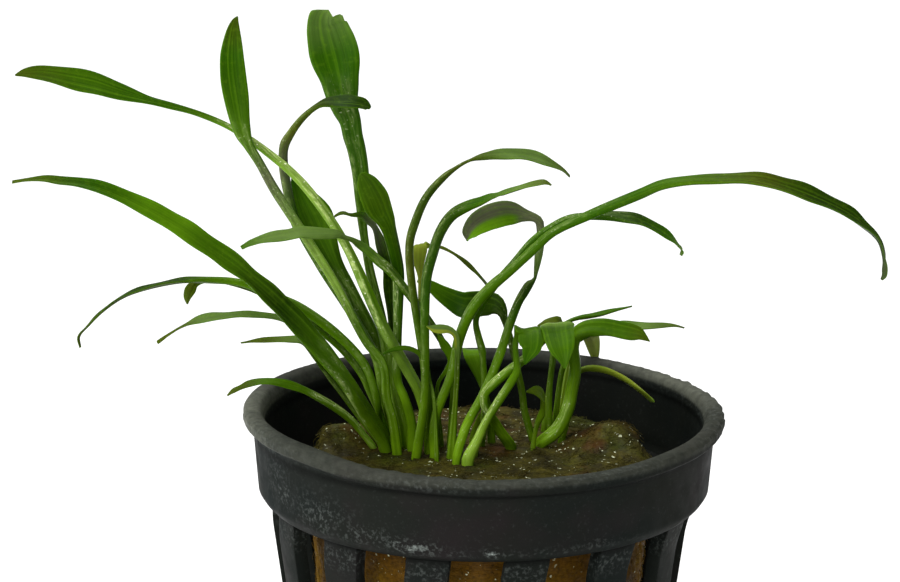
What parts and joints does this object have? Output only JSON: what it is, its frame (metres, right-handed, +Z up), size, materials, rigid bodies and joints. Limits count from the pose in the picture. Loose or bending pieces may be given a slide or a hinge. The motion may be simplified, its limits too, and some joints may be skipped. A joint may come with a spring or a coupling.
{
  "type": "potted aquarium plant",
  "caption": "Young cryptocoryne, an aquarium plant with narrow arching leaves, rooted in a rock wool plug in a black slotted net pot with a collar and flange.",
  "frame": {"origin": "centre of the pot's underside, on the surface it stands on", "axes": "+Z up along the pot's axis; +X to the right and -Y towards the viewer in the picture's view"},
  "size_m": [0.0952, 0.055, 0.0959],
  "materials": {
    "black_plastic": "satin, moulded",
    "rock_wool": "wet fibre, brown with algae",
    "crown_tissue": "plant tissue, dull",
    "leaf_green": "wet leaf, satin",
    "leaf_bright_green": "wet leaf, satin",
    "leaf_olive": "withering leaf, dull",
    "leaf_grey_green": "leaf with a grey sheen",
    "leaf_dark_green": "leaf in shade, satin"
  },
  "bodies": {
    "root": {"net_pot": "black_plastic", "rock_wool_plug": "rock_wool", "crown_left_front": "crown_tissue", "crown_left_back": "crown_tissue", "crown_middle_left": "crown_tissue", "crown_middle_back": "crown_tissue", "crown_front": "crown_tissue", "crown_centre": "crown_tissue", "crown_right": "crown_tissue", "crown_right_back": "crown_tissue", "leaf_long_upper_left": "leaf_green", "leaf_upright_left": "leaf_green", "leaf_long_strap_left": "leaf_green", "leaf_arching_left": "leaf_green", "leaf_small_arch_left": "leaf_green", "leaf_low_left": "leaf_green", "leaf_short_left": "leaf_green", "leaf_over_rim_left": "leaf_green", "leaf_level_grey_green": "leaf_grey_green", "leaf_tall_blunt": "leaf_green", "leaf_tall_hooked": "leaf_green", "leaf_round_tip": "leaf_green", "leaf_dark_behind": "leaf_dark_green", "leaf_shrivelled": "leaf_dark_green", "leaf_top_arch": "leaf_green", "leaf_front_arch": "leaf_green", "leaf_kinked": "leaf_green", "leaf_long_right": "leaf_bright_green", "leaf_curled_right": "leaf_green", "leaf_olive_triangle": "leaf_olive", "leaf_wide_behind": "leaf_green", "leaf_small_level_right": "leaf_green", "leaf_bent_stalk_right": "leaf_bright_green", "leaf_back_right": "leaf_green", "leaf_drooping_pale_stalk": "leaf_bright_green", "leaf_drooping_glossy": "leaf_green", "leaf_small_olive_back": "leaf_olive", "leaf_over_back_rim": "leaf_olive", "cut_stalk_right": "leaf_bright_green", "leaf_folded_right": "leaf_dark_green", "leaf_folded_centre": "leaf_green", "leaf_small_bright": "leaf_bright_green", "leaf_folded_grey": "leaf_grey_green", "leaf_bent_back": "leaf_green", "leaf_olive_stub": "leaf_olive"}
  },
  "joints": []
}
